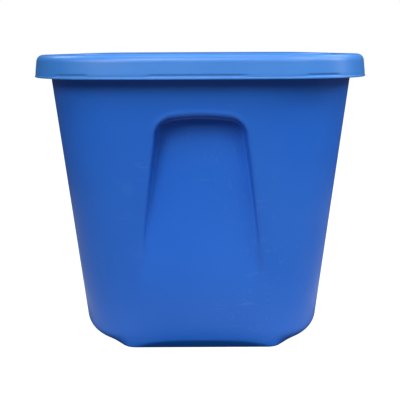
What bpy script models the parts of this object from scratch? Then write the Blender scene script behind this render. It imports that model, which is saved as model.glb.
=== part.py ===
"""Storage tote: a tapered moulded tub and a lid that overhangs it.

Metres. +Z is up, +Y runs along the tote's length, +X across its width. The
origin is the middle of the tub's footprint, on the floor. Each piece is lofted
as one skin through rings that functions work out, then thickened by a Solidify
modifier to its wall thickness.
"""

import math

import bmesh
import bpy

# ---- driving dimensions -------------------------------------------------
WALL = 0.0022  # tub wall
LID_WALL = 0.0022

LID_HALF_X, LID_HALF_Y = 0.2335, 0.3025  # lid, at the skirt's lower edge
LID_SQUARE = 4.0  # exponent of the lid's plan outline
SKIRT_Z = 0.3770  # lower edge of the skirt
CREST_Z = 0.4066  # top of the lid's raised rim
SHOULDER = 0.0098  # radius between skirt and crest
SKIRT_DRAFT = 0.12
CHANNEL_DROP = 0.0056  # channel floor below the crest
PANEL_RISE = 0.0008  # stacking panel above the crest

TOP_X, TOP_Y, TOP_SQUARE = 0.2140, 0.2790, 3.95  # tub outside, at SKIRT_Z
FOOT_X, FOOT_Y, FOOT_SQUARE = 0.1769, 0.2293, 3.7  # tub outside, run down to the floor
FILLET = 0.0203  # round between wall and base
RIM_Z = 0.4008  # underside of the tub's flange
FLANGE = 0.0072  # how far the flange stands out
LIP_Z = 0.3900  # lower edge of the flange's turned-down lip

ARCH_TOP, ARCH_CORNER = 0.3350, 0.0245  # top lip of the end grip arch
ARCH_LEDGE = 0.009  # height over which the ledge turns in
ARCH_FLUSH = 0.085  # the arch's panel meets the wall at this height
SCOOP_Y, SCOOP_SLOPE = 0.2225, 0.62  # flat that trims the end foot's front

SIDE_ARCH_Y, SIDE_ARCH_HALF = 0.066, 0.0455  # two on each long side
SIDE_TOP, SIDE_CORNER = 0.3150, 0.019

LIGHT_BLUE = (0.040, 0.150, 0.560, 1.0)
BLUE = (0.028, 0.120, 0.500, 1.0)


def lerp(t, a, b):
    return a + (b - a) * t


def table(value, pairs):
    """Straight-line interpolation through (input, output) pairs."""
    if value <= pairs[0][0]:
        return pairs[0][1]
    for (x0, y0), (x1, y1) in zip(pairs, pairs[1:]):
        if value <= x1:
            return lerp((value - x0) / (x1 - x0), y0, y1)
    return pairs[-1][1]


def ease(t):
    t = min(max(t, 0.0), 1.0)
    return t * t * t * (t * (6 * t - 15) + 10)


def section(z):
    """Half length, half width and squareness of the tub's outside at height z."""
    k = z / SKIRT_Z
    return (
        lerp(k, FOOT_Y, TOP_Y),
        lerp(k, FOOT_X, TOP_X),
        lerp(k, FOOT_SQUARE, TOP_SQUARE),
    )


def on_outline(half_x, half_y, square, cx, cy):
    """Where the ray to (cx, cy) on the unit square meets the outline."""
    r = (abs(cx) ** square + abs(cy) ** square) ** (-1 / square)
    return half_x * cx * r, half_y * cy * r


# ---- end arch -----------------------------------------------------------
# (height, half width of the mouth) and (height, width of the slope inside it)
END_MOUTH = ((0.0, 0.1357), (0.050, 0.104), (0.085, 0.086), (0.22, 0.0710), (0.34, 0.0610))
END_SLOPE = ((0.0, 0.035), (0.05, 0.020), (0.09, 0.010), (0.18, 0.0095), (0.31, 0.0095))
SIDE_MOUTH = ((0.0, 0.056), (0.08, 0.054), (0.32, SIDE_ARCH_HALF))
SIDE_SLOPE = ((0.0, 0.010), (0.09, 0.008), (0.31, 0.0085))


def lip(across, top, corner, half):
    """Height of an arch's top lip this far across from its middle."""
    across = min(abs(across), half)
    z = top - 0.004 * (across / half) ** 2
    inner = half - corner
    if across > inner:
        z -= corner - math.sqrt(max(corner**2 - (across - inner) ** 2, 0.0))
    return z


def panel_height(z):
    """Height at which the wall stands where an arch's panel is, at height z."""
    if z <= ARCH_FLUSH:
        return z
    over = z - ARCH_FLUSH
    return ARCH_FLUSH + 0.03 * over + 0.0291 * (1 - math.exp(-over / 0.030))


# ---- columns: (side, s), s running -1..1 along each side --------------------
END_HALF = (0.10, 0.20, 0.30, 0.35, 0.40, 0.45, 0.56, 0.67, 0.78, 0.88, 0.95)
SIDE_HALF = (0.12, 0.18, 0.24, 0.295, 0.35, 0.405, 0.46, 0.52, 0.58, 0.70, 0.82, 0.92)


def columns():
    end = [-s for s in END_HALF[::-1]] + [0.0] + list(END_HALF)
    side = [-s for s in SIDE_HALF[::-1]] + [0.0] + list(SIDE_HALF)
    found = []
    for k in range(4):
        found.append((k, -1.0))
        found += [(k, s) for s in (end if k % 2 == 0 else side)]
    return found


def square_point(side, s, z):
    """The column's place on the unit square at height z, its knots following the arches."""
    a, b, _ = section(z)
    m = abs(s)
    if side % 2 == 0:
        w, ws = table(z, END_MOUTH), table(z, END_SLOPE)
        t = table(m, ((0, 0), (0.30, (w - ws) / b), (0.45, w / b), (1, 1)))
    else:
        w, ws = table(z, SIDE_MOUTH), table(z, SIDE_SLOPE)
        lo, hi = SIDE_ARCH_Y - w, SIDE_ARCH_Y + w
        t = table(m, ((0, 0), (0.12, lo / a), (0.24, (lo + ws) / a), (0.46, (hi - ws) / a),
                      (0.58, hi / a), (1, 1)))
    t = math.copysign(t, s)
    return ((t, -1.0), (1.0, t), (-t, 1.0), (-1.0, -t))[side]


def column_lip(side, s):
    """Height of the arch lip that this column runs under."""
    cx, cy = square_point(side, s, 0.31)
    a, b, _ = section(0.31)
    if side % 2 == 0:
        return lip(cx * b, ARCH_TOP, ARCH_CORNER, table(0.31, END_MOUTH))
    return lip(abs(cy * a) - SIDE_ARCH_Y, SIDE_TOP, SIDE_CORNER, table(0.31, SIDE_MOUTH))


def tub_point(side, s, z):
    """A point of the tub's outside wall, with its arches, fillet and feet."""
    a, b, n = section(z)
    inset = FILLET - math.sqrt(FILLET**2 - (FILLET - z) ** 2) if z < FILLET else 0.0
    cx, cy = square_point(side, s, z)
    x, y = on_outline(b - inset, a - inset, n, cx, cy)
    top = column_lip(side, s)
    if side % 2 == 0:
        w, ws = table(z, END_MOUTH), table(z, END_SLOPE)
        m = ease((w - abs(x)) / ws) * ease((top - z) / ARCH_LEDGE)
        pa, pb, pn = section(panel_height(z))
        panel = pa * (1 - min(abs(x) / pb, 1.0) ** pn) ** (1 / pn)
        panel = min(panel, SCOOP_Y + SCOOP_SLOPE * z)
        y = math.copysign(lerp(m, abs(y), panel), y)
    elif z > FILLET:
        w, ws = table(z, SIDE_MOUTH), table(z, SIDE_SLOPE)
        m = ease((w - abs(abs(y) - SIDE_ARCH_Y)) / ws) * ease((top - z) / ARCH_LEDGE)
        pa, pb, pn = section(lerp(0.45, panel_height(z), z))
        panel = pb * (1 - min(abs(y) / pa, 1.0) ** pn) ** (1 / pn)
        x = math.copysign(lerp(m, abs(x), panel), x)
    return x, y, z


def tub_rings():
    cols = columns()
    rings = []
    foot = [tub_point(k, s, 0.0) for k, s in cols]
    for scale, z in ((0.45, 0.004), (0.84, 0.004), (0.88, 0.0)):
        rings.append([(x * scale, y * scale, z) for x, y, _ in foot])
    rings.append(foot)
    for turn in (25, 50, 70):
        z = FILLET * (1 - math.cos(math.radians(turn)))
        rings.append([tub_point(k, s, z) for k, s in cols])
    for z in (FILLET, 0.038, 0.062, 0.090, 0.115, 0.160, 0.210, 0.255):
        rings.append([tub_point(k, s, z) for k, s in cols])
    for below in (0.016, 0.0105, 0.0085, 0.0062, 0.0045, 0.0028, 0.0, -0.004):
        rings.append([tub_point(k, s, column_lip(k, s) - below) for k, s in cols])
    for z in (0.350, 0.375, 0.3985):
        rings.append([tub_point(k, s, z) for k, s in cols])
    a, b, _ = section(RIM_Z)
    for out, z in ((0.0016, RIM_Z - 0.0006), (0.0035, RIM_Z), (FLANGE - 0.0030, RIM_Z),
                   (FLANGE, RIM_Z - 0.0026), (FLANGE + 0.0004, LIP_Z)):
        ring = []
        for k, s in cols:
            cx, cy = square_point(k, s, 0.37)
            ring.append((*on_outline(b + out, a + out, LID_SQUARE, cx, cy), z))
        rings.append(ring)
    return rings, (0.0, 0.0, 0.004)


# ---- lid ----------------------------------------------------------------
def lid_profile():
    """(inset from the skirt's lower edge, height) up the skirt and in to the panel."""
    found = [(0.0, SKIRT_Z), (0.0001, SKIRT_Z + 0.0020), (0.0009, SKIRT_Z + 0.0040)]
    low, high = SKIRT_Z + 0.0040, CREST_Z - SHOULDER
    run = 0.0009 + SKIRT_DRAFT * (high - low)
    found.append((run, high))
    for turn in (25, 50, 70, 90):
        q = math.radians(turn)
        found.append((run + SHOULDER * (1 - math.cos(q)), high + SHOULDER * math.sin(q)))
    edge = run + SHOULDER + 0.0042
    floor = CREST_Z - CHANNEL_DROP
    panel = CREST_Z + PANEL_RISE
    return found + [(edge + 0.0070, CREST_Z), (edge + 0.0090, CREST_Z - 0.0010), (edge + 0.0110, floor + 0.0010),
                    (edge + 0.0125, floor), (edge + 0.0280, floor), (edge + 0.0305, floor + 0.0012),
                    (edge + 0.0325, panel - 0.0010), (edge + 0.0350, panel)]


def lid_rings():
    spots = [i / 8 for i in range(-8, 8)]
    cols = [((t, -1.0), (1.0, t), (-t, 1.0), (-1.0, -t))[k] for k in range(4) for t in spots]
    rings = []
    for inset, z in lid_profile():
        square = LID_SQUARE + 0.6 * min(inset / 0.05, 1.0)
        rings.append([(*on_outline(LID_HALF_X - inset, LID_HALF_Y - inset, square, cx, cy), z)
                      for cx, cy in cols])
    last = rings[-1]
    for scale, rise in ((0.975, 0.0004), (0.93, 0.0006), (0.50, 0.0006)):
        rings.append([(x * scale, y * scale, z + rise) for x, y, z in last])
    return rings, (0.0, 0.0, last[0][2] + 0.0006)


# ---- build --------------------------------------------------------------
def material(name, colour, roughness):
    made = bpy.data.materials.new(name)
    made.use_nodes = True
    shader = made.node_tree.nodes["Principled BSDF"]
    shader.inputs["Base Color"].default_value = colour
    shader.inputs["Roughness"].default_value = roughness
    made.diffuse_color = colour
    return made


def loft(name, rings, centre, centre_first, thickness, mat, home):
    """One skin through the rings, closed at the centre, thickened inwards."""
    bm = bmesh.new()
    verts = [[bm.verts.new(p) for p in ring] for ring in rings]
    hub = bm.verts.new(centre)
    count = len(rings[0])
    for low, high in zip(verts, verts[1:]):
        for i in range(count):
            j = (i + 1) % count
            bm.faces.new((low[i], low[j], high[j], high[i]))
    near = verts[0] if centre_first else verts[-1]
    for i in range(count):
        j = (i + 1) % count
        bm.faces.new((near[j], near[i], hub) if centre_first else (near[i], near[j], hub))
    for face in bm.faces:
        face.smooth = True
    mesh = bpy.data.meshes.new(name)
    bm.to_mesh(mesh)
    bm.free()
    obj = bpy.data.objects.new(name, mesh)
    obj.data.materials.append(mat)
    home.objects.link(obj)
    thick = obj.modifiers.new("Wall", "SOLIDIFY")
    thick.thickness = thickness
    thick.offset = -1.0
    thick.use_even_offset = False
    thick.use_rim = True
    return obj


def main():
    for obj in list(bpy.data.objects):
        bpy.data.objects.remove(obj, do_unlink=True)
    home = bpy.data.collections.new("storage_tote")
    bpy.context.scene.collection.children.link(home)
    rings, centre = tub_rings()
    loft("tub", rings, centre, True, WALL, material("tub_blue", BLUE, 0.42), home)
    rings, centre = lid_rings()
    loft("lid", rings, centre, False, LID_WALL, material("lid_blue", LIGHT_BLUE, 0.38), home)


main()
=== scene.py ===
"""Looks for the storage tote: fine meshes for the tub and the lid, moulded-plastic
materials, a pale floor, soft studio light and the camera."""

import math

import bpy
import numpy as np
from mathutils import Matrix, Vector


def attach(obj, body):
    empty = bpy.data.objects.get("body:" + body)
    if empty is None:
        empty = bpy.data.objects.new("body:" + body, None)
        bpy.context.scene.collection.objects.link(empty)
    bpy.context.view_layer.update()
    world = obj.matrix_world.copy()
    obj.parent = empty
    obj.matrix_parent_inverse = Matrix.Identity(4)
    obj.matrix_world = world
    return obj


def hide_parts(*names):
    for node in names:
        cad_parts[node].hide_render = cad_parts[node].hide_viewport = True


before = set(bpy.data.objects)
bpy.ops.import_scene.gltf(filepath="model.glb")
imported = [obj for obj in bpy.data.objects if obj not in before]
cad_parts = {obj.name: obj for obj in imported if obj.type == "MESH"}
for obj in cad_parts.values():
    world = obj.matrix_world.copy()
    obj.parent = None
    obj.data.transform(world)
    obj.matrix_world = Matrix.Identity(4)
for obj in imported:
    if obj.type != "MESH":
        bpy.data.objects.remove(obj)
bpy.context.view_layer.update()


# ---------------------------------------------------------------- dimensions
# The same design as the CAD nodes, in metres.
WALL = 0.0022
LID_X, LID_Y, LID_SQUARE = 0.2335, 0.3025, 4.0
SKIRT_Z, CREST_Z = 0.3770, 0.4066
LID_SHIFT = -0.0007  # the lid sits this much to one side
TOP_X, TOP_Y, TOP_SQUARE = 0.2141, 0.2825, 3.95
FOOT_X, FOOT_Y, FOOT_SQUARE = 0.1769, 0.2293, 3.7
FILLET = 0.0203
RIM_Z, FLANGE, LIP_Z = 0.4008, 0.0072, 0.3900
ARCH_TOP, ARCH_CORNER, ARCH_FLUSH = 0.3340, 0.0240, 0.075
BEAD = 0.0009
SCOOP_Y, SCOOP_SLOPE = 0.2225, 0.62
SIDE_ARCH_Y, SIDE_TOP, SIDE_CORNER = 0.066, 0.3150, 0.0190
STEEP = math.radians(81)  # how steep a grip arch's side is

# against height: half width of the mouth, width of the band of mesh that makes its
# edge, radius of the round outside and of the round at the panel
END_MOUTH = ([0.0, 0.050, 0.085, 0.138, 0.181, 0.222, 0.268, 0.301, 0.340],
             [0.1357, 0.104, 0.0885, 0.0850, 0.0812, 0.0752, 0.0690, 0.0635, 0.0600])
END_BAND = ([0.0, 0.05, 0.09, 0.16, 0.22, 0.30], [0.035, 0.020, 0.017, 0.018, 0.020, 0.0235])
END_OUTER = ([0.09, 0.16, 0.22, 0.30, 0.32], [0.014, 0.0080, 0.0056, 0.0042, 0.0032])
END_INNER = ([0.09, 0.16, 0.22, 0.30], [0.014, 0.0085, 0.0045, 0.0030])
SIDE_MOUTH = ([0.0, 0.08, 0.32], [0.056, 0.054, 0.0465])
SIDE_BAND = ([0.0, 0.09, 0.31], [0.014, 0.014, 0.0165])
SIDE_OUTER = ([0.09, 0.20, 0.30], [0.010, 0.0060, 0.0042])
SIDE_INNER = ([0.09, 0.20, 0.30], [0.010, 0.0060, 0.0034])


def ramp(t, r1=0.30, r2=0.34):
    """0 to 1 over t in 0..1: a straight slope between two rounded ends."""
    t = np.clip(t, 0.0, 1.0)
    total = 1 - r1 / 2 - r2 / 2
    first = np.where(t < r1, t * t / (2 * r1), t - r1 / 2)
    over = np.maximum(t - (1 - r2), 0.0)
    return (first - over * over / (2 * r2)) / total


def smooth(t):
    t = np.clip(t, 0.0, 1.0)
    return t * t * t * (t * (6 * t - 15) + 10)


def section(z):
    k = z / SKIRT_Z
    return (
        FOOT_Y + (TOP_Y - FOOT_Y) * k,
        FOOT_X + (TOP_X - FOOT_X) * k,
        FOOT_SQUARE + (TOP_SQUARE - FOOT_SQUARE) * k,
    )


def on_outline(hx, hy, n, cx, cy):
    r = (np.abs(cx) ** n + np.abs(cy) ** n) ** (-1 / n)
    return hx * cx * r, hy * cy * r


def panel_height(z):
    over = np.maximum(z - ARCH_FLUSH, 0.0)
    return np.minimum(z, ARCH_FLUSH) + 0.0400 * (1 - np.exp(-over / 0.040))


def edge_profile(q, depth, outer, inner):
    """Across and down an arch's edge as q runs 0 to 1: a convex round, a steep side
    and a concave round. Returns how far across it is and its share of the depth."""
    turn = np.arccos(np.clip(1 - depth / (outer + inner), math.cos(STEEP), 1))
    side = np.maximum(depth - (outer + inner) * (1 - np.cos(turn)), 0) / math.sin(STEEP)
    middle = 0.16 * np.clip(side / 0.006, 0, 1)
    first = 0.5 * (1 - middle)
    a1 = np.clip(q / first, 0, 1) * turn
    t2 = np.clip((q - first) / np.maximum(middle, 1e-9), 0, 1) * side
    a3 = np.clip((q - first - middle) / first, 0, 1) * turn
    across = outer * np.sin(a1) + t2 * math.cos(STEEP)
    across = across + inner * (np.sin(turn) - np.sin(turn - a3))
    down = outer * (1 - np.cos(a1)) + t2 * math.sin(STEEP)
    down = down + inner * (np.cos(turn - a3) - np.cos(turn))
    return across, down / np.maximum(depth, 1e-6)


def arch(across, z, half, top, corner, band, depth, outer, inner):
    """Moves points of the wall so that they trace an arch's edge.

    Takes and returns (across, z), with the share of the panel's depth at each point."""
    sign, across = np.copysign(1.0, across), np.abs(across)
    crown = top - 0.0040 * (np.minimum(across, half) / 0.045) ** 2
    dx, dz = half - across, crown - z
    cx, cz = np.maximum(corner - dx, 0.0), np.maximum(corner - dz, 0.0)
    reach = np.hypot(cx, cz)
    d = np.where((cx > 0) & (cz > 0), corner - reach, np.minimum(dx, dz))
    gap = np.maximum(np.minimum(dx, dz) - corner, 1e-6)
    lean = smooth((dx - dz) / (1.6 * gap) + 0.5) * math.pi / 2
    deep = (dx > corner) & (dz > corner)
    gx = np.where(deep, np.cos(lean), cx / np.maximum(reach, 1e-9))
    gz = np.where(deep, np.sin(lean), cz / np.maximum(reach, 1e-9))
    q = np.clip(d / band, 0, 1)
    w, share = edge_profile(q, depth, outer, inner)
    full, _ = edge_profile(np.ones_like(q), depth, outer, inner)
    rest = 0.028
    beyond = np.clip(d - band, 0, rest)
    w = w + beyond * (band + rest - full) / rest + np.maximum(d - band - rest, 0)
    w = np.where(d > 0, w, d)
    firm = smooth(depth / 0.004)
    moved = firm * (w - d)
    share = firm * share + (1 - firm) * ramp(q)
    return sign * (across - moved * gx), z - moved * gz, np.where(d > 0, share, 0.0)


def bead(across, z, half, top, corner, depth):
    """How far the wall stands out in the low bead that runs over an arch's crown."""
    across = np.abs(across)
    dx = half - across
    dz = top - 0.0040 * (np.minimum(across, half) / 0.045) ** 2 - z
    cx, cz = np.maximum(corner - dx, 0.0), np.maximum(corner - dz, 0.0)
    reach = np.maximum(np.hypot(cx, cz), 1e-9)
    corner_part = (cx > 0) & (cz > 0)
    d = np.where(corner_part, corner - reach, np.minimum(dx, dz))
    up = np.where(corner_part, cz / reach, np.where(dz < dx, 1.0, 0.0))
    return BEAD * np.exp(-(((d + 0.0016) / 0.0027) ** 2)) * smooth(up) * smooth(depth / 0.008)


def lip(across, half, top, corner):
    """Height of the mouth's upper edge, this far across."""
    across = np.minimum(np.abs(across), half)
    crown = top - 0.0040 * (across / 0.045) ** 2
    inner = np.maximum(across - (half - corner), 0.0)
    return crown - (corner - np.sqrt(np.maximum(corner**2 - inner**2, 0.0)))


# ------------------------------------------------------------------- columns
def spread(knots, counts):
    found = []
    for (a, b), n in zip(zip(knots, knots[1:]), counts):
        found += [a + (b - a) * i / n for i in range(1, n + 1)]
    return found


def columns(fine):
    end = spread((0, 0.30, 0.45, 0.56, 1), [int(c * fine) for c in (14, 25, 8, 20)])
    side = spread((0, 0.12, 0.24, 0.46, 0.58, 1), [int(c * fine) for c in (6, 18, 10, 18, 18)])
    sides, places = [], []
    for k in range(4):
        half = (end if k % 2 == 0 else side)[:-1]
        line = [-1.0] + [-s for s in half[::-1]] + [0.0] + half
        sides += [k] * len(line)
        places += line
    return np.array(sides), np.array(places)


def bend(m, knots_in, knots_out):
    """Piecewise-straight map of each column's place, with knots that change with height."""
    result = np.zeros(np.broadcast(m, knots_out[0]).shape)
    for (a, b), (lo, hi) in zip(
        zip(knots_in, knots_in[1:]), zip(knots_out, knots_out[1:])
    ):
        t = np.clip((m - a) / (b - a), 0, 1)
        inside = (m >= a) & (m <= b)
        result = np.where(inside, lo + (hi - lo) * t, result)
    return result


def square_point(side, s, z):
    a, b, _ = section(z)
    m = np.abs(s)
    w, ws = np.interp(z, *END_MOUTH), np.interp(z, *END_BAND)
    zero, one = np.zeros_like(a), np.ones_like(a)
    t_end = bend(m, (0, 0.30, 0.45, 1), (zero, (w - ws) / b, w / b, one))
    w, ws = np.interp(z, *SIDE_MOUTH), np.interp(z, *SIDE_BAND)
    lo, hi = SIDE_ARCH_Y - w, SIDE_ARCH_Y + w
    t_side = bend(
        m,
        (0, 0.12, 0.24, 0.46, 0.58, 1),
        (zero, lo / a, (lo + ws) / a, (hi - ws) / a, hi / a, one),
    )
    t = np.copysign(np.where(side % 2 == 0, t_end, t_side), s)
    cx = np.select([side == 0, side == 1, side == 2], [t, one, -t], -one)
    cy = np.select([side == 0, side == 1, side == 2], [-one, t, one], -t)
    return cx, cy


def column_lip(side, s):
    z = np.full_like(s, 0.31)
    cx, cy = square_point(side, s, z)
    a, b, _ = section(z)
    end = lip(cx * b, np.interp(0.32, *END_MOUTH), ARCH_TOP, ARCH_CORNER)
    off = np.abs(cy * a) - SIDE_ARCH_Y
    side_lip = lip(off, np.interp(0.31, *SIDE_MOUTH), SIDE_TOP, SIDE_CORNER)
    return np.where(side % 2 == 0, end, side_lip)


def outline_y(z, x, inset=0.0):
    a, b, n = section(z)
    return (a - inset) * (1 - np.clip(np.abs(x) / (b - inset), 0, 1) ** n) ** (1 / n)


def outline_x(z, y, inset=0.0):
    a, b, n = section(z)
    return (b - inset) * (1 - np.clip(np.abs(y) / (a - inset), 0, 1) ** n) ** (1 / n)


def sunk_height(z):
    return z + 0.55 * (panel_height(z) - z)


def wall(side, s, z, inset=0.0):
    """The tub's outer wall, or with an inset the inner one, at column s and height z."""
    a, b, n = section(z)
    fillet = FILLET - inset
    low = np.maximum(fillet - (z - inset), 0.0)
    pull = fillet - np.sqrt(np.maximum(fillet**2 - np.minimum(low, fillet) ** 2, 0.0))
    cx, cy = square_point(side, s, z)
    x, y = on_outline(b - inset - pull, a - inset - pull, n, cx, cy)
    end = side % 2 == 0
    high = z > ARCH_FLUSH

    # ends: a grip arch above, and below it a foot that stands out of the round
    w, band = np.interp(z, *END_MOUTH), np.interp(z, *END_BAND)
    depth = np.where(high, outline_y(z, x) - outline_y(panel_height(z), x), 0.0)
    outer, inner = np.interp(z, *END_OUTER) - inset, np.interp(z, *END_INNER) + inset
    ex, ez, share = arch(x, z, w, ARCH_TOP, ARCH_CORNER, band, depth, outer, inner)
    ey = outline_y(ez, ex, inset)
    panel = outline_y(panel_height(ez), ex, inset)
    arch_y = ey + share * (panel - ey)
    if not inset:
        arch_y = arch_y + bead(x, z, w, ARCH_TOP, ARCH_CORNER, depth)
    foot = np.clip((w - np.abs(x)) / band, 0, 1)
    foot = ramp(foot, 0.42, 0.30) if not inset else 0.0
    edge = np.maximum(0.0022 - z, 0.0)
    edge = 0.0022 - np.sqrt(np.maximum(0.0022**2 - edge**2, 0.0))
    panel = np.minimum(outline_y(z, x, inset), SCOOP_Y + SCOOP_SLOPE * z) - edge
    foot_y = np.abs(y) + foot * (panel - np.abs(y))
    y_end = np.copysign(np.where(high, arch_y, foot_y), y)
    x_end, z_end = np.where(high, ex, x), np.where(high, ez, z)

    # long sides: two shallower arches
    w, band = np.interp(z, *SIDE_MOUTH), np.interp(z, *SIDE_BAND)
    depth = np.where(high, outline_x(z, y) - outline_x(sunk_height(z), y), 0.0)
    outer, inner = np.interp(z, *SIDE_OUTER) - inset, np.interp(z, *SIDE_INNER) + inset
    off = np.abs(y) - SIDE_ARCH_Y
    off, sz, share = arch(off, z, w, SIDE_TOP, SIDE_CORNER, band, depth, outer, inner)
    sy = np.copysign(np.where(high, SIDE_ARCH_Y + off, np.abs(y)), y)
    sx = outline_x(sz, sy, inset)
    side_x = sx + share * (outline_x(sunk_height(sz), sy, inset) - sx)
    x_side = np.copysign(np.where(high, side_x, np.abs(x)), x)
    z_side = np.where(high, sz, z)
    return (np.where(end, x_end, x_side), np.where(end, y_end, sy), np.where(end, z_end, z_side))


# ---------------------------------------------------------------- mesh maker
def make_mesh(name, rings, hub_first=None, hub_last=None, edge=None):
    """A closed skin through rings of points, capped at either end by a hub point."""
    rows, cols = rings.shape[:2]
    points = rings.reshape(-1, 3)
    r = np.arange(rows - 1)[:, None] * cols
    i = np.arange(cols)[None, :]
    j = (i + 1) % cols
    quads = np.stack([r + i, r + j, r + cols + j, r + cols + i], -1).reshape(-1, 4)
    hubs, tris = [], []
    i, j = np.arange(cols), (np.arange(cols) + 1) % cols
    if hub_first is not None:
        hub = len(points) + len(hubs)
        hubs.append(hub_first)
        tris.append(np.stack([j, i, np.full(cols, hub)], -1))
    if hub_last is not None:
        hub = len(points) + len(hubs)
        hubs.append(hub_last)
        last = (rows - 1) * cols
        tris.append(np.stack([last + i, last + j, np.full(cols, hub)], -1))
    if hubs:
        points = np.concatenate([points, np.array(hubs)])
    tris = np.concatenate(tris) if tris else np.zeros((0, 3), int)
    mesh = bpy.data.meshes.new(name)
    mesh.vertices.add(len(points))
    mesh.vertices.foreach_set("co", points.astype(np.float32).ravel())
    mesh.loops.add(quads.size + tris.size)
    mesh.loops.foreach_set("vertex_index", np.concatenate([quads.ravel(), tris.ravel()]))
    starts = np.concatenate(
        [np.arange(len(quads)) * 4, quads.size + np.arange(len(tris)) * 3]
    )
    mesh.polygons.add(len(starts))
    mesh.polygons.foreach_set("loop_start", starts)
    mesh.update(calc_edges=True)
    mesh.validate()
    mesh.polygons.foreach_set("use_smooth", np.ones(len(mesh.polygons), bool))
    if edge is not None:
        values = np.zeros(len(points), np.float32)
        values[: edge.size] = edge.ravel()
        layer = mesh.attributes.new("wear", "FLOAT", "POINT")
        layer.data.foreach_set("value", values)
    obj = bpy.data.objects.new(name, mesh)
    bpy.context.scene.collection.objects.link(obj)
    return obj


def arc_row(points):
    """Rows with the same columns, as one array (rows, columns, 3)."""
    return np.stack([np.stack(np.broadcast_arrays(*p), -1) for p in points])


# ------------------------------------------------------------------- the tub
def tub_heights(side, s):
    """Heights of the outer wall's rows, row by row, following the arches."""
    lips = column_lip(side, s)
    rows = []
    for turn in np.linspace(0, 90, 17)[1:]:
        rows.append(np.full_like(s, FILLET * (1 - math.cos(math.radians(turn)))))
    for z in np.linspace(FILLET, 0.250, 54)[1:]:
        rows.append(np.full_like(s, z))
    low = lips - 0.0245
    for k in np.linspace(0, 1, 12)[1:]:
        rows.append(0.250 + (low - 0.250) * k)
    for k in np.linspace(0.0245, 0.0, 26)[1:]:
        rows.append(lips - k)
    for k in np.linspace(0, 1, 18)[1:] ** 1.7:
        rows.append(lips * (1 - k) + 0.375 * k)
    for z in (0.381, 0.387, 0.392, 0.396, 0.3980):
        rows.append(np.full_like(s, z))
    return rows


def build_tub():
    side, s = columns(1.0)
    rows = []
    foot_x, foot_y, _ = wall(side, s, np.zeros_like(s))
    # underside: a sunk panel inside a standing ring
    for k, z in ((0.12, 0.0046), (0.30, 0.0044), (0.5, 0.0042), (0.68, 0.0040), (0.82, 0.0040),
                 (0.846, 0.0038), (0.856, 0.0026), (0.866, 0.0010), (0.876, 0.0001), (0.89, 0.0),
                 (0.93, 0.0), (0.97, 0.0), (0.99, 0.0)):
        rows.append((foot_x * k, foot_y * k, np.full_like(s, z)))
    rows.append((foot_x, foot_y, np.zeros_like(s)))
    for z in tub_heights(side, s):
        rows.append(wall(side, s, z))
    # flange and turned-down lip, seen from underneath and outside
    cx, cy = square_point(side, s, np.full_like(s, 0.375))
    a, b, _ = section(RIM_Z)

    def rim(out, z):
        x, y = on_outline(b + out, a + out, LID_SQUARE, cx, cy)
        rows.append((x, y, np.full_like(s, z)))

    for turn in (20, 40, 60, 90):
        q = math.radians(turn)
        rim(0.0004 + 0.0024 * (1 - math.cos(q)), RIM_Z - 0.0024 + 0.0024 * math.sin(q))
    rim(FLANGE - 0.0020, RIM_Z)
    for turn in (30, 60, 90):
        q = math.radians(turn)
        rim(FLANGE - 0.0012 + 0.0014 * math.sin(q), RIM_Z - 0.0014 * (1 - math.cos(q)))
    rim(FLANGE + 0.0003, 0.3960)
    rim(FLANGE + 0.0004, LIP_Z + 0.0005)
    rim(FLANGE + 0.0010, LIP_Z)
    rim(FLANGE + 0.0019, LIP_Z)
    rim(FLANGE + 0.0025, LIP_Z + 0.0006)
    rim(FLANGE + 0.0026, 0.3940)
    rim(FLANGE + 0.0025, RIM_Z - 0.0014)
    for turn in (20, 45, 70, 90):
        q = math.radians(turn)
        rim(FLANGE - 0.0010 + 0.0035 * math.cos(q), RIM_Z - 0.0013 + 0.0035 * math.sin(q))
    rim(0.0010, RIM_Z + WALL)
    for turn in (30, 60, 90):
        q = math.radians(turn)
        rim(0.0006 - 0.0028 * math.sin(q), RIM_Z + WALL - 0.0022 * (1 - math.cos(q)))
    # inside, from the rim down to the floor
    lips = column_lip(side, s)
    inner = [np.full_like(s, z) for z in (0.3960, 0.392, 0.385, 0.375)]
    inner += [lips * (1 - k) + 0.375 * k for k in np.linspace(1, 0, 9)[1:]]
    inner += [lips - k for k in np.linspace(0.0, 0.0245, 22)[1:]]
    inner += [0.250 + (lips - 0.0245 - 0.250) * k for k in np.linspace(1, 0, 9)[1:]]
    inner += [np.full_like(s, z) for z in np.linspace(0.250, FILLET + 0.004, 40)[1:]]
    fillet = FILLET - WALL
    inner += [
        np.full_like(s, WALL + fillet * (1 - math.cos(math.radians(turn))))
        for turn in np.linspace(90, 0, 11)
    ]
    for z in inner:
        x, y, z = wall(side, s, np.maximum(z, WALL), WALL)
        rows.append((x, y, z))
    for k, z in ((0.97, WALL), (0.93, WALL), (0.915, 0.0024), (0.90, 0.0036), (0.885, 0.0058),
                 (0.87, 0.0062), (0.7, 0.0063), (0.5, 0.0065), (0.3, 0.0067), (0.12, 0.0068)):
        rows.append((x * k, y * k, np.full_like(s, z)))
    rings = arc_row(rows)
    return make_mesh(
        "tub_shell", rings, hub_first=(0, 0, 0.0046), hub_last=(0, 0, 0.0068)
    )


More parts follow.
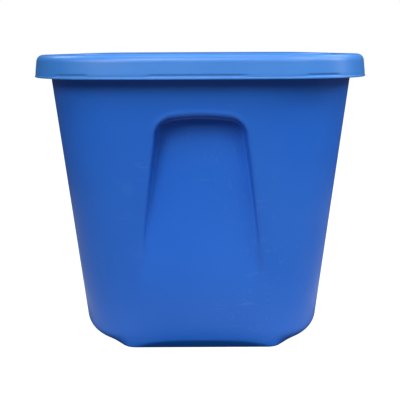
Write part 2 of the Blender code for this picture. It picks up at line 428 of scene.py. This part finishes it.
# ------------------------------------------------------------------- the lid
def fillet_path(corners):
    """(x, z, radius) corners as a smooth path of points."""
    path = [np.array(corners[0][:2])]
    for before, at, after in zip(corners, corners[1:], corners[2:]):
        p, q, r = np.array(before[:2]), np.array(at[:2]), np.array(after[:2])
        radius = at[2]
        u, v = (p - q) / np.linalg.norm(p - q), (r - q) / np.linalg.norm(r - q)
        half = math.acos(float(np.clip(u @ v, -1, 1))) / 2
        if radius <= 0 or half > 1.55:
            path.append(q)
            continue
        reach = radius / math.tan(half)
        reach = min(reach, 0.49 * np.linalg.norm(p - q), 0.49 * np.linalg.norm(r - q))
        radius = reach * math.tan(half)
        middle = q + (u + v) / np.linalg.norm(u + v) * radius / math.sin(half)
        start, stop = q + u * reach - middle, q + v * reach - middle
        turn = math.atan2(start[0] * stop[1] - start[1] * stop[0], start @ stop)
        steps = max(3, int(abs(turn) / 0.15))
        for k in range(steps + 1):
            angle = turn * k / steps
            c, w = math.cos(angle), math.sin(angle)
            path.append(middle + np.array([c * start[0] - w * start[1], w * start[0] + c * start[1]]))
    path.append(np.array(corners[-1][:2]))
    return np.array(path)


def build_lid():
    end = [-1 + i / 60 for i in range(120)]
    long = [-1 + i / 70 for i in range(140)]
    cx, cy = [], []
    for k, line in enumerate((end, long, end, long)):
        for t in line:
            px, py = ((t, -1.0), (1.0, t), (-t, 1.0), (-1.0, -t))[k]
            cx.append(px)
            cy.append(py)
    cx, cy = np.array(cx), np.array(cy)
    crest, floor, panel = CREST_Z, CREST_Z - 0.0056, CREST_Z + 0.0010
    outer = fillet_path([
        (0.0012, SKIRT_Z + 0.0001, 0), (0.0006, SKIRT_Z, 0.0002), (0.0, SKIRT_Z + 0.0004, 0.0005),
        (0.0001, SKIRT_Z + 0.0019, 0.0006), (0.0008, SKIRT_Z + 0.0026, 0.0008),
        (0.0010, SKIRT_Z + 0.0062, 0.0020), (0.0038, crest, 0.0096), (0.0250, crest, 0.0030),
        (0.0277, floor, 0.0026), (0.0436, floor, 0.0026), (0.0470, panel, 0.0032), (0.0560, panel, 0),
    ])
    under = fillet_path([
        (0.0560, panel - WALL, 0), (0.0484, panel - WALL, 0.0012), (0.0452, floor - WALL, 0.0046),
        (0.0258, floor - WALL, 0.0046), (0.0233, crest - WALL, 0.0012), (0.0064, crest - WALL, 0.0074),
        (0.0034, SKIRT_Z + 0.0070, 0.002), (0.0030, SKIRT_Z + 0.0024, 0.001),
        (0.0022, SKIRT_Z + 0.0006, 0.0006), (0.0018, SKIRT_Z + 0.0001, 0),
    ])

    fine = [outer[0]]
    for start, stop in zip(outer, outer[1:]):
        parts = max(1, math.ceil(float(np.linalg.norm(stop - start)) / 0.0012))
        fine += [start + (stop - start) * k / parts for k in range(1, parts + 1)]
    outer = np.array(fine)

    def snap(x, y, z):
        """How far the skirt is pressed in over the beads that snap under the tub's lip."""
        up = (z - SKIRT_Z - 0.0042) / 0.0021
        if abs(up) >= 1:
            return 0.0
        across = np.where(np.abs(cy) >= 1, np.abs(x + 0.0035), 9.0)
        along = np.where(np.abs(cx) >= 1, np.abs(y), 9.0)
        reach = np.minimum(across - 0.0600, np.abs(across - 0.1560) - 0.0195)
        reach = np.minimum(reach, np.abs(np.abs(along) - 0.115) - 0.045)
        return 0.0008 * smooth(0.5 - reach / 0.007) * (1 - up * up)

    def ring(inset, z):
        n = LID_SQUARE + 0.6 * min(inset / 0.05, 1.0)
        x, y = on_outline(LID_X - inset, LID_Y - inset, n, cx, cy)
        if inset < 0.0016:
            dent = snap(x, y, z)
            x, y = on_outline(LID_X - inset - dent, LID_Y - inset - dent, n, cx, cy)
        return x + LID_SHIFT, y, np.full_like(x, z)

    def centre(k, z):
        x, y, _ = ring(0.0560, z)
        return (x - LID_SHIFT) * k + LID_SHIFT, y * k, np.full_like(x, z)

    rows = [centre(k, panel - WALL + 0.0006) for k in (0.15, 0.4, 0.7, 0.92)]
    rows += [centre(0.97, panel - WALL + 0.0003)]
    rows += [ring(inset, z) for inset, z in under]
    rows += [ring(inset, z) for inset, z in outer]
    rows += [centre(0.97, panel + 0.0004)]
    rows += [centre(k, panel + 0.0006) for k in (0.92, 0.7, 0.4, 0.15)]
    rings = arc_row(rows)
    return make_mesh(
        "lid_shell",
        rings,
        hub_first=(LID_SHIFT, 0, panel - WALL + 0.0006),
        hub_last=(LID_SHIFT, 0, panel + 0.0006),
    )


# ----------------------------------------------------------------- materials
def plastic(name, colour, roughness):
    made = bpy.data.materials.new(name)
    made.use_nodes = True
    nt = made.node_tree
    shader = nt.nodes["Principled BSDF"]
    coords = nt.nodes.new("ShaderNodeTexCoord")

    def noise(scale, detail, rough=0.5, vector=None):
        node = nt.nodes.new("ShaderNodeTexNoise")
        node.inputs["Scale"].default_value = scale
        node.inputs["Detail"].default_value = detail
        node.inputs["Roughness"].default_value = rough
        nt.links.new(vector or coords.outputs["Object"], node.inputs["Vector"])
        return node.outputs["Fac"]

    def remap(value, lo, hi, to_lo, to_hi):
        node = nt.nodes.new("ShaderNodeMapRange")
        for key, number in (("From Min", lo), ("From Max", hi), ("To Min", to_lo), ("To Max", to_hi)):
            node.inputs[key].default_value = number
        nt.links.new(value, node.inputs["Value"])
        return node.outputs["Result"]

    def mix(factor, a, b):
        node = nt.nodes.new("ShaderNodeMix")
        node.data_type = "RGBA"
        nt.links.new(factor, node.inputs["Factor"])
        for value, key in ((a, "A"), (b, "B")):
            socket = [i for i in node.inputs if i.name == key and i.type == "RGBA"][0]
            if isinstance(value, tuple):
                socket.default_value = value
            else:
                nt.links.new(value, socket)
        return [o for o in node.outputs if o.type == "RGBA"][0]

    def times(a, b):
        node = nt.nodes.new("ShaderNodeMath")
        node.operation = "MULTIPLY"
        for value, socket in ((a, node.inputs[0]), (b, node.inputs[1])):
            if isinstance(value, float):
                socket.default_value = value
            else:
                nt.links.new(value, socket)
        return node.outputs[0]

    def scratches(turn, scale, low, high):
        """Thin lines all running one way, broken up by a slower noise."""
        place = nt.nodes.new("ShaderNodeMapping")
        place.inputs["Rotation"].default_value = turn
        place.inputs["Scale"].default_value = scale
        nt.links.new(coords.outputs["Object"], place.inputs["Vector"])
        lines = remap(noise(9.0, 2.0, 0.5, place.outputs["Vector"]), low, high, 0.0, 1.0)
        patches = remap(noise(6.0, 3.0, 0.6), 0.52, 0.68, 0.0, 1.0)
        return times(lines, patches)

    # colour: slow drift in the pigment, paler scuffs, edges rubbed a little pale
    r, g, b = colour
    light = (r * 1.25, g * 1.06, b * 1.03, 1)
    dark = (r * 0.85, g * 0.95, b * 0.97, 1)
    pale = (r + 0.10, g + 0.12, b + 0.10, 1)
    base = mix(remap(noise(5.0, 3.0), 0.35, 0.65, 0.0, 1.0), dark, light)
    scuff_a = scratches((0.2, 0.5, 0.3), (1.2, 30.0, 9.0), 0.615, 0.66)
    scuff_b = scratches((0.9, -0.4, 1.1), (22.0, 1.0, 14.0), 0.62, 0.67)
    base = mix(times(scuff_a, 0.30), base, pale)
    base = mix(times(scuff_b, 0.22), base, pale)
    geometry = nt.nodes.new("ShaderNodeNewGeometry")
    rubbed = remap(geometry.outputs["Pointiness"], 0.505, 0.54, 0.0, 0.10)
    base = mix(times(rubbed, remap(noise(45.0, 4.0, 0.65), 0.4, 0.6, 0.3, 1.0)), base, pale)
    nt.links.new(base, shader.inputs["Base Color"])

    # satin, a little uneven, duller where it is scuffed
    rough = remap(noise(18.0, 5.0, 0.62), 0.3, 0.7, roughness - 0.04, roughness + 0.05)
    add = nt.nodes.new("ShaderNodeMath")
    add.operation = "ADD"
    nt.links.new(rough, add.inputs[0])
    nt.links.new(times(scuff_a, 0.12), add.inputs[1])
    nt.links.new(add.outputs[0], shader.inputs["Roughness"])

    # the mould's fine grain over slow waves in the wall
    grain = nt.nodes.new("ShaderNodeBump")
    grain.inputs["Strength"].default_value = 0.16
    grain.inputs["Distance"].default_value = 0.0002
    nt.links.new(noise(1100.0, 2.0), grain.inputs["Height"])
    waves = nt.nodes.new("ShaderNodeBump")
    waves.inputs["Strength"].default_value = 0.5
    waves.inputs["Distance"].default_value = 0.0010
    nt.links.new(noise(13.0, 1.0), waves.inputs["Height"])
    nt.links.new(waves.outputs["Normal"], grain.inputs["Normal"])
    nt.links.new(grain.outputs["Normal"], shader.inputs["Normal"])
    shader.inputs["IOR"].default_value = 1.49
    return made


# ------------------------------------------------------------------ assembly
tub = build_tub()
tub.data.materials.append(plastic("tub_plastic", (0.016, 0.145, 0.670), 0.38))
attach(tub, "tub")
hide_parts("tub")

lid = build_lid()
# painted light: the lid is the tub's plastic painted paler and greener, standing in for the lid's brighter light
# and paler highlights
lid.data.materials.append(plastic("lid_plastic_painted_paler", (0.045, 0.215, 0.640), 0.36))
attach(lid, "lid")
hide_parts("lid")


# --------------------------------------------------------------------- stage
def stage_floor():
    """A pale floor. It shows white to the camera. For the light it gives the tote it glows instead, with a
    painted shadow dark under the tote and a painted brighter ring just clear of it.
    """
    r = 14.0
    mesh = bpy.data.meshes.new("floor")
    mesh.from_pydata([(-r, -r, -0.0004), (r, -r, -0.0004), (r, r, -0.0004), (-r, r, -0.0004)], [], [(0, 1, 2, 3)])
    floor = bpy.data.objects.new("floor", mesh)
    bpy.context.scene.collection.objects.link(floor)
    made = bpy.data.materials.new("floor_white")
    made.use_nodes = True
    nt = made.node_tree
    nt.nodes.clear()
    out = nt.nodes.new("ShaderNodeOutputMaterial")
    diffuse = nt.nodes.new("ShaderNodeBsdfDiffuse")
    diffuse.inputs["Color"].default_value = (0.14, 0.14, 0.14, 1)
    shown = nt.nodes.new("ShaderNodeEmission")
    shown.inputs["Strength"].default_value = 1.05
    # painted light: the floor glows towards the tote in place of light bounced off it
    painted_bounce_glow = nt.nodes.new("ShaderNodeEmission")
    coords = nt.nodes.new("ShaderNodeTexCoord")
    shape = nt.nodes.new("ShaderNodeMapping")
    shape.inputs["Scale"].default_value = (1.004, 0.8333, 1.0)
    near = nt.nodes.new("ShaderNodeTexGradient")
    near.gradient_type = "SPHERICAL"
    # painted shade and light in the floor's glow, against distance: a painted shadow under the tote, a painted
    # bright ring just clear of it, then fading
    level = nt.nodes.new("ShaderNodeValToRGB")
    stops = ((0.0, 0.06), (0.12, 0.12), (0.30, 0.28), (0.58, 0.30), (0.68, 0.36), (0.733, 0.62), (0.762, 0.58), (0.788, 0.0))
    while len(level.color_ramp.elements) < len(stops):
        level.color_ramp.elements.new(0.5)
    for element, (place, value) in zip(level.color_ramp.elements, stops):
        element.position = place
        element.color = (value, value, value, 1)
    nt.links.new(coords.outputs["Object"], shape.inputs["Vector"])
    nt.links.new(shape.outputs["Vector"], near.inputs["Vector"])
    nt.links.new(near.outputs["Fac"], level.inputs["Fac"])
    nt.links.new(level.outputs["Color"], painted_bounce_glow.inputs["Strength"])
    path = nt.nodes.new("ShaderNodeLightPath")
    seen = nt.nodes.new("ShaderNodeAddShader")
    pick = nt.nodes.new("ShaderNodeMixShader")
    nt.links.new(diffuse.outputs[0], seen.inputs[0])
    nt.links.new(shown.outputs[0], seen.inputs[1])
    nt.links.new(path.outputs["Is Camera Ray"], pick.inputs[0])
    nt.links.new(painted_bounce_glow.outputs[0], pick.inputs[1])
    nt.links.new(seen.outputs[0], pick.inputs[2])
    nt.links.new(pick.outputs[0], out.inputs["Surface"])
    mesh.materials.append(made)


def softbox(name, azimuth, elevation, power, size=0.9):
    """A square soft light 2.6 m from the tote's near end, azimuth from -Y towards +X."""
    data = bpy.data.lights.new(name, "AREA")
    data.shape = "RECTANGLE"
    data.size = data.size_y = size
    data.energy = power
    obj = bpy.data.objects.new(name, data)
    az, el = math.radians(azimuth), math.radians(elevation)
    way = Vector((math.sin(az) * math.cos(el), -math.cos(az) * math.cos(el), math.sin(el)))
    obj.location = Vector((0, -0.25, 0.2)) + 2.6 * way
    obj.rotation_euler = (-way).to_track_quat("-Z", "Y").to_euler()
    bpy.context.scene.collection.objects.link(obj)


stage_floor()
softbox("key", -30, 32, 22)
softbox("key_side", -55, 32, 9.5)
softbox("top_front", -8, 54, 23)
softbox("front", 14, 32, 2.8)
softbox("fill_right", 36, 32, 11)
softbox("high_right", 60, 54, 25)
softbox("side_right", 85, 32, 22)
softbox("side_right_low", 85, 12, 4.5)
softbox("back_left", -128, 48, 14)
softbox("back_right", 128, 48, 12)
softbox("back", 180, 74, 7)

world = bpy.data.worlds.new("studio")
bpy.context.scene.world = world
world.use_nodes = True
nt = world.node_tree
back = nt.nodes["Background"]
path = nt.nodes.new("ShaderNodeLightPath")
level = nt.nodes.new("ShaderNodeMapRange")
level.inputs["To Min"].default_value = 0.02
level.inputs["To Max"].default_value = 1.0
nt.links.new(path.outputs["Is Camera Ray"], level.inputs["Value"])
back.inputs["Color"].default_value = (1, 1, 1, 1)
nt.links.new(level.outputs["Result"], back.inputs["Strength"])

# -------------------------------------------------------------------- camera
camera_data = bpy.data.cameras.new("camera")
camera = bpy.data.objects.new("camera", camera_data)
bpy.context.scene.collection.objects.link(camera)
camera_data.sensor_width = 36.0
camera_data.lens = 741.0 / 400 * 36.0
camera_data.clip_end = 100
camera_data.shift_x = -1.18 / 400
camera.location = (0.0, -(LID_Y + 0.9047), 0.4120)
turn = Matrix.Rotation(math.pi / 2 - 0.1997, 4, "X") @ Matrix.Rotation(-0.00446, 4, "Z")
camera.rotation_euler = turn.to_euler()
bpy.context.scene.camera = camera
bpy.context.scene.view_settings.view_transform = "Standard"
